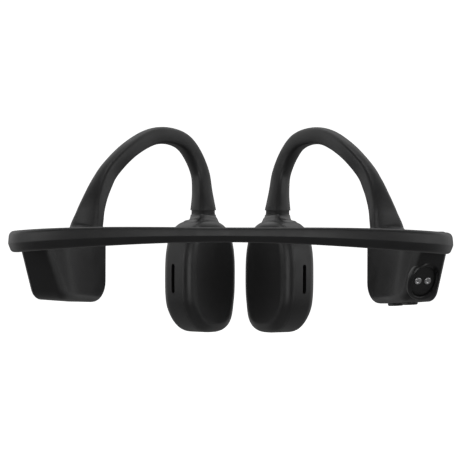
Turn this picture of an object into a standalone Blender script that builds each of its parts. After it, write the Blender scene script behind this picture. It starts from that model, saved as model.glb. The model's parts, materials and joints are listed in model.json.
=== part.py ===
"""Bone conduction headphones with a sprung neckband, modelled as they come apart on a bench.

A rear neckband joins two arms. Each arm carries a rear pod behind the ear, an ear hook over it and a
speaker pod in front of it. The left rear pod holds the battery; the right one holds the circuit board,
the charging contacts, the power button and the volume rocker.

Sizes are in millimetres and become metres when a mesh or an empty is made. +Z is up, +Y is the wearer's
front and +X the wearer's right. The origin is midway between the undersides of the two ear hooks, where
they rest on the ears. Everything is drawn for the right side, and the left side mirrors it in X.
"""

import math

import bmesh
import bpy
from mathutils import Matrix, Vector

MM = 0.001
RIGHT, LEFT = 1, -1
SIDE_NAMES = {RIGHT: "right", LEFT: "left"}

# Gaps between pieces that touch in use.
FIT_GAP = 0.15
SLIDE_GAP = 0.25

# Neckband: the centreline's height, half thickness and half height at points from rear centre to pod.
BAND_BULGE = 21.1
BAND_HALF_SPAN = 61.95
BAND_POWER = 2.3
BAND_WIDEST_Y = -70.0
BAND_CENTRE_Z = -28.75
BAND_END_Z = -30.95
BAND_HALF_THICK = (1.9, 2.05)
BAND_HALF_TALL = (2.1, 3.15)
BAND_GROWS_TO = 62.0
FLEX_AT = 31.0

# Rear pod: x outwards, y forwards, z up, with its origin at the middle of its rear end, level with its top.
POD_ORIGIN = (58.65, -50.8, -27.6)
POD_TOE_IN = 24.0
POD_HALF_THICK = 5.8
POD_LENGTH = 33.5
POD_LEAN = 7.0
POD_PARTING = 4.4
POD_WALL = 1.3
POD_OUTER_ROUND = 1.1
POD_INNER_ROUND = 2.2
BAND_SEAT = (2.9, -3.35)

# Ear hook: where it stands on the pod, and its silicone's length to the speaker's neck.
HOOK_BASE = (-0.35, 29.6, 0.25)
HOOK_POWER = 3.2

# Speaker pod: x outwards, y forwards, z up, with its origin at its middle.
SPEAKER_ORIGIN = (12.8, 6.5, -42.3)
SPEAKER_TOE_IN = 40.0
SPEAKER_HALF_LONG = 11.3
SPEAKER_HALF_TALL = 17.75
SPEAKER_HALF_THICK = 6.4
SPEAKER_POWER = 3.0
SPEAKER_ROUND = 3.2
SPEAKER_WALL = 1.2
PAD_THICK = 2.8
PAD_ROUND = 2.3
SLOT_TALL = 9.1
SLOT_WIDE = 1.0

# The channel through every sleeve, and the spring wire and the lead that lie in it.
CHANNEL = (0.8, 1.7)
WIRE_RADIUS = 0.5
WIRE_OFFSET = 0.8
LEAD_RADIUS = 0.6
LEAD_OFFSET = -0.75
TAIL = 3.6

ROUND_SIDES = 24
SLEEVE_SIDES = 14


# Materials


def material(name, colour, roughness, metallic=0.0):
    """A plain material with one colour, roughness and metallic value."""
    made = bpy.data.materials.new(name)
    made.use_nodes = True
    shader = made.node_tree.nodes["Principled BSDF"]
    shader.inputs["Base Color"].default_value = (*colour, 1.0)
    shader.inputs["Roughness"].default_value = roughness
    shader.inputs["Metallic"].default_value = metallic
    made.diffuse_color = (*colour, 1.0)
    return made


def all_materials():
    """Every finish of the headphones, by name."""
    return {
        "silicone": material("silicone", (0.022, 0.022, 0.023), 0.55),
        "shell": material("shell", (0.02, 0.02, 0.021), 0.42),
        "pad": material("pad", (0.016, 0.016, 0.017), 0.62),
        "titanium": material("titanium", (0.5, 0.49, 0.47), 0.32, 1.0),
        "lead": material("lead", (0.03, 0.03, 0.035), 0.5),
        "board": material("board", (0.01, 0.05, 0.03), 0.45),
        "chip": material("chip", (0.012, 0.012, 0.013), 0.35),
        "cell": material("cell", (0.45, 0.46, 0.48), 0.38, 1.0),
        "foam": material("foam", (0.03, 0.03, 0.03), 0.95),
        "steel": material("steel", (0.42, 0.42, 0.43), 0.3, 1.0),
        "magnet": material("magnet", (0.6, 0.6, 0.62), 0.2, 1.0),
        "copper": material("copper", (0.72, 0.33, 0.16), 0.35, 1.0),
        "contact": material("contact", (0.5, 0.5, 0.5), 0.28, 1.0),
        "lens": material("lens", (0.75, 0.78, 0.8), 0.2),
        "mesh": material("mesh", (0.03, 0.03, 0.03), 0.5, 1.0),
        "gasket": material("gasket", (0.05, 0.02, 0.02), 0.7),
    }


# Objects and placing


def clear_scene():
    """Takes away whatever the scene starts with."""
    for old in list(bpy.data.objects):
        bpy.data.objects.remove(old, do_unlink=True)


def empty(name, place, turn=0.0, parent=None):
    """An empty at a point in its parent, turned about Z by so many degrees."""
    made = bpy.data.objects.new(name, None)
    bpy.context.scene.collection.objects.link(made)
    made.location = Vector(place) * MM
    made.rotation_euler = (0, 0, math.radians(turn))
    made.parent = parent
    return made


def mirrored(side, point):
    """A right-hand point, on the given side."""
    return (side * point[0], *point[1:])


def solid(name, mesh, finish, parent, side=RIGHT):
    """Makes an object of a mesh drawn in millimetres for the right side, in its parent's frame."""
    bmesh.ops.scale(mesh, vec=(side * MM, MM, MM), verts=mesh.verts)
    bmesh.ops.recalc_face_normals(mesh, faces=mesh.faces)
    if mesh.calc_volume(signed=True) < 0:
        bmesh.ops.reverse_faces(mesh, faces=mesh.faces)
    data = bpy.data.meshes.new(name)
    mesh.to_mesh(data)
    mesh.free()
    data.shade_smooth()
    data.set_sharp_from_angle(angle=math.radians(32))
    made = bpy.data.objects.new(name, data)
    bpy.context.scene.collection.objects.link(made)
    made.parent = parent
    if finish:
        data.materials.append(finish)
    return made


def combine(target, mesh, operation, parent, side=RIGHT):
    """Cuts a shape out of an object, or joins one to it, and keeps the shape as a hidden helper."""
    helper = solid(f"{target.name}.{operation.lower()}", mesh, None, parent, side)
    helper.hide_render = True
    helper.display_type = "WIRE"
    boolean = target.modifiers.new(helper.name, "BOOLEAN")
    boolean.operation = operation
    boolean.object = helper


# Shapes


def grow_outline(outline, step):
    """An outline with each edge moved out by a step, or in by a negative one. It runs anticlockwise."""
    moved = []
    for i, here in enumerate(outline):
        before = Vector(here) - Vector(outline[i - 1])
        after = Vector(outline[(i + 1) % len(outline)]) - Vector(here)
        normal = Vector((before.y, -before.x)).normalized() + Vector((after.y, -after.x)).normalized()
        normal.normalize()
        share = max(0.5, normal.dot(Vector((before.y, -before.x)).normalized()))
        moved.append(tuple(Vector(here) + normal * (step / share)))
    return moved


def superellipse(half_wide, half_tall, power, count):
    """A closed outline between an ellipse, at power 2, and a rectangle."""
    outline = []
    for i in range(count):
        angle = math.tau * (i + 0.5) / count
        c, s = math.cos(angle), math.sin(angle)
        wide = math.copysign(abs(c) ** (2 / power), c) * half_wide
        tall = math.copysign(abs(s) ** (2 / power), s) * half_tall
        outline.append((wide, tall))
    return outline


def rounded(corners, steps=4):
    """An outline of (y, z, radius) corners with each corner as an arc."""
    outline = []
    for i, (y, z, radius) in enumerate(corners):
        here = Vector((y, z))
        to_last = (Vector(corners[i - 1][:2]) - here).normalized()
        to_next = (Vector(corners[(i + 1) % len(corners)][:2]) - here).normalized()
        half = to_last.angle(to_next) / 2
        reach = radius / math.tan(half)
        centre = here + (to_last + to_next).normalized() * (radius / math.sin(half))
        start, end = here + to_last * reach - centre, here + to_next * reach - centre
        turn = start.angle_signed(end)
        for k in range(steps + 1):
            outline.append(tuple(centre + Matrix.Rotation(-turn * k / steps, 2) @ start))
    return outline


def prism(outline, low, high):
    """A slab of a (y, z) outline that reaches from low to high in x."""
    return loft([(low, outline), (high, outline)])


def loft(rows):
    """A closed solid through rows, each an x and a (y, z) outline of as many points."""
    mesh = bmesh.new()
    rings = [[mesh.verts.new((x, y, z)) for y, z in outline] for x, outline in rows]
    for low, high in zip(rings, rings[1:]):
        ring_faces(mesh, low, high)
    mesh.faces.new(rings[0])
    mesh.faces.new(rings[-1])
    return mesh


def soft_slab(outline_at, low, high, low_round=0.0, high_round=0.0, steps=3):
    """A slab from low to high in x with rounded rims. outline_at gives its outline for an inset."""
    rows = []
    for k in range(steps + 1 if low_round else 1):
        angle = math.pi / 2 * k / steps
        rows.append((low + low_round * (1 - math.cos(angle)), outline_at(low_round * (1 - math.sin(angle)))))
    for k in range(steps + 1 if high_round else 1):
        angle = math.pi / 2 * (steps - k) / steps if high_round else 0.0
        rows.append((high - high_round * (1 - math.cos(angle)), outline_at(high_round * (1 - math.sin(angle)))))
    return loft(rows)


def block(low, high, radius=0.0):
    """A box from one corner to the other, with its edges rounded if a radius is given."""
    mesh = bmesh.new()
    bmesh.ops.create_cube(mesh, size=1.0)
    low, high = Vector(low), Vector(high)
    bmesh.ops.scale(mesh, vec=high - low, verts=mesh.verts)
    bmesh.ops.translate(mesh, vec=(low + high) / 2, verts=mesh.verts)
    if radius:
        bmesh.ops.bevel(
            mesh, geom=mesh.edges[:], offset=radius, offset_type="OFFSET", segments=2,
            profile=0.5, affect="EDGES", material=-1,
        )
    return mesh


def turned(profile, centre=(0, 0), sides=ROUND_SIDES):
    """A closed (x, radius) profile turned about a line along x through the (y, z) centre."""
    mesh = bmesh.new()
    corners = [mesh.verts.new((x, radius, 0)) for x, radius in profile]
    pairs = zip(corners, corners[1:] + corners[:1])
    edges = [mesh.edges.new(pair) for pair in pairs if pair[0].co.y > 0 or pair[1].co.y > 0]
    bmesh.ops.spin(
        mesh, geom=corners + edges, cent=(0, 0, 0), axis=(1, 0, 0), angle=math.tau,
        steps=sides, use_merge=True, use_duplicate=False,
    )
    bmesh.ops.remove_doubles(mesh, verts=mesh.verts, dist=1e-4)
    bmesh.ops.translate(mesh, vec=(0, *centre), verts=mesh.verts)
    return mesh


def place(mesh, matrix):
    """The mesh, moved by a matrix."""
    bmesh.ops.transform(mesh, matrix=matrix, verts=mesh.verts)
    return mesh


# Swept pieces: a station is a matrix whose x and y axes carry the section and whose z axis is the heading.


def station(centre, heading, across):
    """The section's frame at a point: y is across, as square to the heading as it can be, and x is y turned."""
    heading = heading.normalized()
    across = (across - heading * across.dot(heading)).normalized()
    frame = Matrix((across.cross(heading), across, heading)).transposed().to_4x4()
    frame.translation = centre
    return frame


def sized(frame, half_x, half_y):
    """A station with its section's half sizes put in."""
    return frame @ Matrix.Diagonal((half_x, half_y, 1, 1))


def ring_faces(mesh, low, high):
    """A ring of faces between two closed rows of as many vertices."""
    for i in range(len(low)):
        mesh.faces.new((low[i - 1], low[i], high[i], high[i - 1]))


def skin(mesh, section, frames):
    """Sweeps a section through stations, and gives its first and last rows of vertices."""
    rows = [[mesh.verts.new(frame @ Vector((x, y, 0))) for x, y in section] for frame in frames]
    for low, high in zip(rows, rows[1:]):
        ring_faces(mesh, low, high)
    return rows[0], rows[-1]


def sleeve(section, frames, channel_frames):
    """A swept solid with an oval channel from end to end."""
    mesh = bmesh.new()
    outer = skin(mesh, section, frames)
    bore = skin(mesh, [tuple(Vector(point).normalized()) for point in section], channel_frames)
    for outside, inside in zip(outer, bore):
        ring_faces(mesh, outside, inside)
    return mesh


def bar(section, frames):
    """A swept solid with flat ends."""
    mesh = bmesh.new()
    for row in skin(mesh, section, frames):
        mesh.faces.new(row)
    return mesh


def rod(name, frames, offset, radius, finish, parent, side, tails=(0.0, 0.0)):
    """A round wire through the stations, set off in the section's x, with straight tails past its ends."""
    route = [frame @ Vector((offset, 0, 0)) for frame in frames]
    route.insert(0, frames[0] @ Vector((offset, 0, -tails[0])))
    route.append(frames[-1] @ Vector((offset, 0, tails[1])))
    line = bpy.data.curves.new(name, "CURVE")
    line.dimensions = "3D"
    line.bevel_depth = radius * MM
    line.bevel_resolution = 1
    line.use_fill_caps = True
    spline = line.splines.new("POLY")
    spline.points.add(len(route) - 1)
    for point, at in zip(spline.points, route):
        point.co = (side * at.x * MM, at.y * MM, at.z * MM, 1)
    line.materials.append(finish)
    made = bpy.data.objects.new(name, line)
    bpy.context.scene.collection.objects.link(made)
    made.parent = parent
    return made


def between(values, share):
    """A smooth step through a (start, end) pair."""
    eased = share * share * (3 - 2 * share)
    return values[0] + (values[1] - values[0]) * eased


def spline_at(points, t):
    """A point at t, from 0 to 1, on a smooth curve through points of any dimension."""
    last = len(points) - 1
    i = min(int(t * last), last - 1)
    f = t * last - i
    p0, p1, p2, p3 = (points[max(0, min(last, k))] for k in (i - 1, i, i + 1, i + 2))
    return [
        0.5 * (2 * b + (c - a) * f + (2 * a - 5 * b + 4 * c - d) * f * f + (3 * b - a - 3 * c + d) * f ** 3)
        for a, b, c, d in zip(p0, p1, p2, p3)
    ]


# Neckband

BAND_SECTION = [
    (-0.3, 1.0), (0.55, 1.0), (0.88, 0.8), (1.0, 0.4), (1.0, -0.5), (0.8, -0.85), (0.45, -1.0),
    (-0.5, -1.0), (-0.85, -0.82), (-1.0, -0.4), (-1.0, 0.25), (-0.85, 0.6),
]


def pod_point(x, y, z):
    """A point of the right rear pod's frame, in the part's own frame."""
    turn = Matrix.Rotation(math.radians(POD_TOE_IN), 3, "Z")
    return turn @ Vector((x, y, z)) + Vector(POD_ORIGIN)


def band_route():
    """The right half of the band's centreline, from the rear centre to the rear pod."""
    route = []
    for degrees in range(0, 91, 9):
        angle = math.radians(degrees)
        x = BAND_HALF_SPAN * math.sin(angle) ** (2 / BAND_POWER)
        y = BAND_WIDEST_Y - BAND_BULGE * max(0.0, math.cos(angle)) ** (2 / BAND_POWER)
        route.append(Vector((x, y, between((BAND_CENTRE_Z, BAND_END_Z), degrees / 90))))
    seat = pod_point(BAND_SEAT[0], -FIT_GAP, BAND_SEAT[1])
    route.append(Vector((62.15, -63.0, BAND_END_Z)))
    route.append(Vector((62.1, -56.0, BAND_END_Z)))
    route.append(seat)
    return route


def band_frames(start, end, count):
    """Stations along the band between two distances from its rear centre, for the right-hand half.

    The section's x runs up and its y runs outwards.
    """
    fine = [Vector(spline_at(band_route(), k / 400)) for k in range(401)]
    run = [0.0]
    for a, b in zip(fine, fine[1:]):
        run.append(run[-1] + (b - a).length)
    end = min(end, run[-1])
    frames = []
    for k in range(count + 1):
        want = start + (end - start) * k / count
        away = abs(want)
        i = min(range(len(run)), key=lambda j: abs(run[j] - away))
        heading = fine[min(i + 3, 400)] - fine[max(i - 3, 0)]
        if i == 0:
            heading = Vector((1, 0, 0))
        if i == 400:
            heading = pod_point(0, 1, 0) - pod_point(0, 0, 0)
        heading.z = 0
        centre = fine[i].copy()
        if want < 0:
            centre.x, heading.y = -centre.x, -heading.y
        outwards = Vector((heading.y, -heading.x, 0))
        share = min(1.0, run[i] / BAND_GROWS_TO)
        half = between(BAND_HALF_TALL, share), between(BAND_HALF_THICK, share)
        frames.append((station(centre, heading, outwards), half))
    return frames


def outer_face(frame, half):
    """The point on the band's outer face at a station."""
    return frame @ Vector((0, half[1], 0))


def flex_point():
    """Where the right half of the band bends: on its outer face, so that its inner side opens."""
    return outer_face(*band_frames(FLEX_AT, FLEX_AT, 1)[0])


def band_pieces(prefix, frames, finish, parent, side, origin, tails):
    """The sleeve, spring wire and lead of one stretch of the band."""
    shift = Matrix.Translation(-origin)
    plain = [shift @ frame for frame, _ in frames]
    shaped = [sized(frame, *half) for frame, (_, half) in zip(plain, frames)]
    bores = [sized(frame, CHANNEL[1], CHANNEL[0]) for frame in plain]
    solid(f"{prefix}_sleeve", sleeve(BAND_SECTION, shaped, bores), finish["silicone"], parent, side)
    rod(f"{prefix}_wire", plain, WIRE_OFFSET, WIRE_RADIUS, finish["titanium"], parent, side, tails)
    rod(f"{prefix}_lead", plain, LEAD_OFFSET, LEAD_RADIUS, finish["lead"], parent, side, tails)


# Rear pods


POD_CORNERS = [
    (0.0, 0.0, 0.8), (0.0, -6.0, 1.6), (POD_LEAN, -20.9, 4.2), (POD_LENGTH, -22.6, 6.4), (POD_LENGTH, 0.0, 1.2),
]


def pod_outline(inset=0.0):
    """The rear pod seen from the side, anticlockwise from its rear top corner, with its walls moved in."""
    corners = grow_outline([corner[:2] for corner in POD_CORNERS], -inset)
    rounds = [max(0.4, corner[2] - inset) for corner in POD_CORNERS]
    return rounded([(*corner, radius) for corner, radius in zip(corners, rounds)], steps=3)


def pod_rear_frame():
    """A frame on the leaning rear face: x outwards, y along the face upwards, z out of the face."""
    up = Vector((0, -POD_LEAN, 14.9)).normalized()
    across = Vector((1, 0, 0))
    frame = Matrix((across, up, across.cross(up))).transposed().to_4x4()
    frame.translation = Vector((-0.3, POD_LEAN * 0.6, -14.94))
    return frame


def pod_bottom_frame(y):
    """A frame on the sloping underside: x outwards, y forwards, z up into the pod."""
    slope = math.atan2(1.7, POD_LENGTH - POD_LEAN)
    frame = Matrix.Rotation(-slope, 4, "X")
    frame.translation = Vector((0, y, -20.9 - (y - POD_LEAN) * math.tan(slope)))
    return frame


def capsule(half_wide, half_long, low, high, low_round=0.0):
    """An upright bar with round ends: half_wide in x, half_long in y, from low to high in z."""
    def outline_at(inset):
        y, z = half_long - inset, half_wide - inset
        return rounded([(-y, -z, z * 0.98), (y, -z, z * 0.98), (y, z, z * 0.98), (-y, z, z * 0.98)], steps=3)

    mesh = soft_slab(outline_at, low, high, low_round=low_round)
    return place(mesh, Matrix(((0, 0, 1, 0), (0, 1, 0, 0), (1, 0, 0, 0), (0, 0, 0, 1))))


VOLUME_UP_Y = 23.7
VOLUME_DOWN_Y = 13.9
BUTTON_HALF_WIDE = 1.8
BUTTON_HALF_LONG = 3.1
BUTTON_PROUD = 0.8
BUTTON_FLANGE = 0.6


def pod_shells(name, finish, parent, side):
    """The pod's shell, its cover on the outer side and the seal between them."""
    shell = solid(
        f"{name}_pod_shell",
        soft_slab(pod_outline, -POD_HALF_THICK, POD_PARTING, low_round=POD_INNER_ROUND),
        finish["shell"], parent, side,
    )
    hollow = pod_outline(POD_WALL)
    combine(shell, prism(hollow, POD_WALL - POD_HALF_THICK, 8.0), "DIFFERENCE", parent, side)
    x, z = BAND_SEAT
    combine(shell, block((x - 1.0, -2.0, z - 1.9), (x + 1.0, 5.0, z + 1.9)), "DIFFERENCE", parent, side)
    x, y, _ = HOOK_BASE
    combine(shell, block((x - 1.0, y - 1.9, -4.0), (x + 1.0, y + 1.9, 3.0)), "DIFFERENCE", parent, side)
    cover = soft_slab(pod_outline, POD_PARTING + FIT_GAP, POD_HALF_THICK, high_round=POD_OUTER_ROUND)
    solid(f"{name}_pod_cover", cover, finish["shell"], parent, side)
    seal = solid(
        f"{name}_pod_seal", prism(pod_outline(POD_WALL + FIT_GAP), POD_PARTING - 0.9, POD_PARTING),
        finish["gasket"], parent, side,
    )
    combine(seal, prism(pod_outline(POD_WALL + 0.95), 2.0, 8.0), "DIFFERENCE", parent, side)
    return shell


def battery_parts(finish, parent, side):
    """What the left pod holds: the cell on its foam, and its protection board."""
    solid("battery_cell", block((-2.9, 10.0, -18.2), (2.6, 29.0, -6.2), 0.7), finish["cell"], parent, side)
    solid("battery_foam", block((2.8, 11.0, -17.5), (3.8, 28.0, -7.0)), finish["foam"], parent, side)
    solid("battery_board", block((-1.7, 10.0, -5.4), (1.9, 21.0, -4.6)), finish["board"], parent, side)


def pod_button(name, y, shell, finish, parent, side):
    """A silicone button through the pod's underside, held in by a flange, and the cut that it slides in."""
    frame = pod_bottom_frame(y)
    wide, long = BUTTON_HALF_WIDE, BUTTON_HALF_LONG
    hole = capsule(wide + SLIDE_GAP, long + SLIDE_GAP, -4.0, 2.0)
    combine(shell, place(hole, frame), "DIFFERENCE", parent, side)
    holder = empty(f"{name}_axis", mirrored(side, frame.translation), parent=parent)
    frame.translation = (0, 0, 0)
    button = solid(
        name, place(capsule(wide, long, -BUTTON_PROUD, POD_WALL + 0.5, 0.4), frame), finish["silicone"], holder, side,
    )
    low = POD_WALL + 0.35
    flange = capsule(wide + BUTTON_FLANGE, long + BUTTON_FLANGE, low, low + 0.7)
    combine(button, place(flange, frame), "UNION", holder, side)


def pod_switch(name, y, finish, parent, side):
    """A small push switch above a button."""
    low = POD_WALL + 1.5
    body = block((-1.3, -1.3, low), (1.3, 1.3, low + 1.2), 0.15)
    solid(name, place(body, pod_bottom_frame(y)), finish["chip"], parent, side)


# A contact pin's (x, radius) profile, with x out of the face. It ends just below the insert's face.
PIN_PROFILE = [(-2.2, 0), (-2.2, 0.6), (-1.4, 0.6), (-1.4, 1.15), (-0.8, 1.15), (-0.65, 1), (-0.65, 0)]


def charging_parts(shell, finish, parent, side):
    """The oval recess in the right pod's rear face, its insert, two contact pins and the magnet behind them."""
    frame = pod_rear_frame()
    to_face = Matrix(((0, 1, 0, 0), (0, 0, 1, 0), (1, 0, 0, 0), (0, 0, 0, 1)))
    oval = superellipse(3.9, 4.9, 2.2, 20)
    combine(shell, place(prism(oval, -2.4, 2.0), frame @ to_face), "DIFFERENCE", parent, side)
    insert = superellipse(3.9 - FIT_GAP, 4.9 - FIT_GAP, 2.2, 20)
    plate = solid(
        "charge_insert", place(prism(insert, -1.25, -0.6), frame @ to_face), finish["pad"], parent, side,
    )
    for name, x in (("charge_pin_inner", -1.62), ("charge_pin_outer", 1.62)):
        seat = frame @ Matrix.Translation((x, -0.05, 0)) @ to_face
        hole = turned([(-4, 0), (-4, 1.27), (1, 1.27), (1, 0)], sides=16)
        combine(plate, place(hole, seat), "DIFFERENCE", parent, side)
        pin = turned(PIN_PROFILE, sides=16)
        solid(name, place(pin, seat), finish["contact"], parent, side)
    magnet = prism(superellipse(2.6, 1.2, 4, 12), -2.35, -1.65)
    low = frame @ Matrix.Translation((0, -2.9, 0)) @ to_face
    solid("charge_magnet", place(magnet, low), finish["magnet"], parent, side)


def control_parts(shell, finish, parent, side):
    """What the right pod holds: the circuit board, its radio chip and aerial, switches, buttons and status light."""
    solid("main_board", block((0.5, 9.5, -16.3), (1.4, 29.5, -4.2)), finish["board"], parent, side)
    solid("radio_chip", block((-0.9, 15.0, -12.5), (0.35, 21.0, -6.5), 0.1), finish["chip"], parent, side)
    solid("aerial", block((1.55, 23.5, -14.5), (2.6, 29.0, -5.0), 0.1), finish["copper"], parent, side)
    for name, y in (("volume_up", VOLUME_UP_Y), ("volume_down", VOLUME_DOWN_Y)):
        pod_button(f"{name}_button", y, shell, finish, parent, side)
        pod_switch(f"{name}_switch", y, finish, parent, side)
    light = pod_bottom_frame((VOLUME_UP_Y + VOLUME_DOWN_Y) / 2)
    upright = light @ Matrix.Rotation(math.radians(-90), 4, "Y")
    hole = turned([(-2, 0), (-2, 0.65), (2.5, 0.65), (2.5, 0)], sides=12)
    combine(shell, place(hole, upright), "DIFFERENCE", parent, side)
    lens = turned([(0.05, 0), (0.05, 0.5), (2.2, 0.5), (2.2, 0)], sides=12)
    solid("status_light", place(lens, upright), finish["lens"], parent, side)


# Ear hooks

# Stations in the part's own frame: x, y, z, the side that the section's y faces (degrees), half sizes.
HOOK_STATIONS = [
    (46.2, -23.8, -26.0, 24, 2.7, 5.1),
    (45.6, -23.75, -23.9, 24, 2.6, 4.65),
    (44.9, -23.5, -21.1, 24.5, 2.75, 4.1),
    (43.75, -22.5, -17.5, 26, 2.95, 3.4),
    (42.15, -20.6, -13.4, 28, 3.05, 2.85),
    (39.7, -17.9, -8.7, 32, 2.9, 2.5),
    (34.6, -13.2, -2.7, 36, 2.65, 2.35),
    (28.8, -5.8, 1.7, 39, 2.6, 2.35),
    (23.8, -0.2, 2.8, 40, 2.6, 2.35),
    (19.0, 5.7, 1.3, 41, 2.65, 2.35),
    (15.9, 9.8, -2.7, 42, 2.7, 2.35),
    (13.4, 12.3, -8.9, 44, 2.75, 2.45),
    (12.6, 11.8, -15.2, 45, 3.0, 2.75),
    (12.3, 10.6, -21.0, 46, 3.8, 3.4),
]
NECK_STATIONS = [
    (12.3, 10.5, -21.3, 46, 3.8, 3.4),
    (12.4, 9.8, -24.4, 45, 4.7, 4.0),
    (12.6, 8.6, -28.5, 42, 6.6, 4.8),
]


def hook_frames(stations, count):
    """Section frames along a hook's stations, level at both ends, with the half sizes at each."""
    fine = [spline_at(stations, k / count) for k in range(count + 1)]
    frames = []
    for k, (x, y, z, facing, half_along, half_across) in enumerate(fine):
        heading = Vector(fine[min(k + 1, count)][:3]) - Vector(fine[max(k - 1, 0)][:3])
        across = Vector((math.cos(math.radians(facing)), math.sin(math.radians(facing)), 0))
        if k == 0 or k == count:
            heading = Vector((0, 0, math.copysign(1, heading.z)))
        frames.append((station(Vector((x, y, z)), heading, across), (half_along, half_across)))
    return frames


def hook_pieces(name, finish, parent, side, origin):
    """The silicone ear hook with its spring wire and its speaker lead."""
    base = pod_point(*HOOK_BASE)
    foot = (*base, POD_TOE_IN, 3.3, 5.5)
    frames = hook_frames([foot, *HOOK_STATIONS], 40)
    shift = Matrix.Translation(-origin)
    plain = [shift @ frame for frame, _ in frames]
    shaped = [sized(frame, *half) for frame, (_, half) in zip(plain, frames)]
    bores = [sized(frame, CHANNEL[1], CHANNEL[0]) for frame in plain]
    section = superellipse(1, 1, HOOK_POWER, SLEEVE_SIDES)
    solid(f"{name}_hook_sleeve", sleeve(section, shaped, bores), finish["silicone"], parent, side)
    tails = (2.6, TAIL)
    rod(f"{name}_hook_wire", plain, WIRE_OFFSET, WIRE_RADIUS, finish["titanium"], parent, side, tails)
    rod(f"{name}_hook_lead", plain, LEAD_OFFSET, LEAD_RADIUS, finish["lead"], parent, side, tails)


# Speaker pods


def speaker_local(frame):
    """A station of the part's own frame, in the right speaker pod's frame."""
    turn = Matrix.Rotation(math.radians(-SPEAKER_TOE_IN), 4, "Z")
    return turn @ Matrix.Translation(-Vector(SPEAKER_ORIGIN)) @ frame


def speaker_outline(inset=0.0):
    """The speaker pod seen square to its contact pad, with its walls moved in."""
    return superellipse(SPEAKER_HALF_LONG - inset, SPEAKER_HALF_TALL - inset, SPEAKER_POWER, 32)


def speaker_shell(name, finish, parent, side):
    """The speaker's outer shell: a cup with a neck for the hook, a sound slot in its rear rim and a microphone hole."""
    rim = -SPEAKER_HALF_THICK + PAD_THICK
    shell = solid(
        f"{name}_speaker_shell",
        soft_slab(speaker_outline, rim, SPEAKER_HALF_THICK, high_round=SPEAKER_ROUND),
        finish["shell"], parent, side,
    )
    necks = [speaker_local(frame) for frame, _ in hook_frames(NECK_STATIONS, 5)]
    halves = [half for _, half in hook_frames(NECK_STATIONS, 5)]
    section = superellipse(1, 1, HOOK_POWER, SLEEVE_SIDES)
    neck = bar(section, [sized(frame, *half) for frame, half in zip(necks, halves)])
    combine(shell, neck, "UNION", parent, side)
    hollow = speaker_outline(SPEAKER_WALL)
    combine(shell, prism(hollow, -9.0, SPEAKER_HALF_THICK - SPEAKER_WALL), "DIFFERENCE", parent, side)
    reach = [necks[0] @ Matrix.Translation((0, 0, -3.0)), necks[0] @ Matrix.Translation((0, 0, 7.5))]
    bore = bar(superellipse(1, 1, 2.6, 10), [sized(frame, 1.95, 1.05) for frame in reach])
    combine(shell, bore, "DIFFERENCE", parent, side)
    slot = rounded([
        (-SLOT_WIDE / 2, -SLOT_TALL / 2, 0.48), (SLOT_WIDE / 2, -SLOT_TALL / 2, 0.48),
        (SLOT_WIDE / 2, SLOT_TALL / 2, 0.48), (-SLOT_WIDE / 2, SLOT_TALL / 2, 0.48),
    ], steps=2)
    along = Matrix(((0, 1, 0, 1.0), (1, 0, 0, 0), (0, 0, 1, -0.6), (0, 0, 0, 1)))
    combine(shell, place(prism(slot, -14.0, -8.6), along), "DIFFERENCE", parent, side)
    hole = turned([(2.0, 0), (2.0, 0.5), (8.0, 0.5), (8.0, 0)], centre=(4.5, -12.0), sides=12)
    combine(shell, hole, "DIFFERENCE", parent, side)
    return shell


def speaker_parts(name, finish, parent, side):
    """The driver behind the contact pad: pad, plate, coil, magnet, yoke, sound mesh and microphone."""
    top = -SPEAKER_HALF_THICK + PAD_THICK - FIT_GAP
    pad = solid(
        f"{name}_speaker_pad", soft_slab(speaker_outline, -SPEAKER_HALF_THICK, top, low_round=PAD_ROUND),
        finish["pad"], parent, side,
    )
    lip = speaker_outline(SPEAKER_WALL + FIT_GAP)
    combine(pad, prism(lip, top - 0.3, top + 0.8), "UNION", parent, side)
    combine(pad, prism(speaker_outline(SPEAKER_WALL + 1.15), top, top + 2.0), "DIFFERENCE", parent, side)
    floor = top + FIT_GAP
    plate = turned([(floor, 0), (floor, 7.6), (floor + 0.4, 7.6), (floor + 0.4, 0)])
    solid(f"{name}_driver_plate", plate, finish["steel"], parent, side)
    low = floor + 0.4 + FIT_GAP
    coil = turned([(low, 5.1), (low, 6.3), (low + 2.6, 6.3), (low + 2.6, 5.1)])
    solid(f"{name}_driver_coil", coil, finish["copper"], parent, side)
    magnet = turned([(low + 0.5, 0), (low + 0.5, 4.7), (low + 3.1, 4.7), (low + 3.1, 0)])
    solid(f"{name}_driver_magnet", magnet, finish["magnet"], parent, side)
    back = low + 3.1 + FIT_GAP
    yoke = turned([(low + 0.5, 6.6), (low + 0.5, 7.7), (back + 1.0, 7.7), (back + 1.0, 0), (back, 0), (back, 6.6)])
    solid(f"{name}_driver_yoke", yoke, finish["steel"], parent, side)
    mesh = block((0.2, -9.95, -5.4), (1.8, -9.65, 4.2))
    solid(f"{name}_sound_mesh", mesh, finish["mesh"], parent, side)
    mic = block((2.0, 3.0, -13.5), (3.6, 6.0, -10.5), 0.2)
    solid(f"{name}_microphone", mic, finish["chip"], parent, side)


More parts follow.
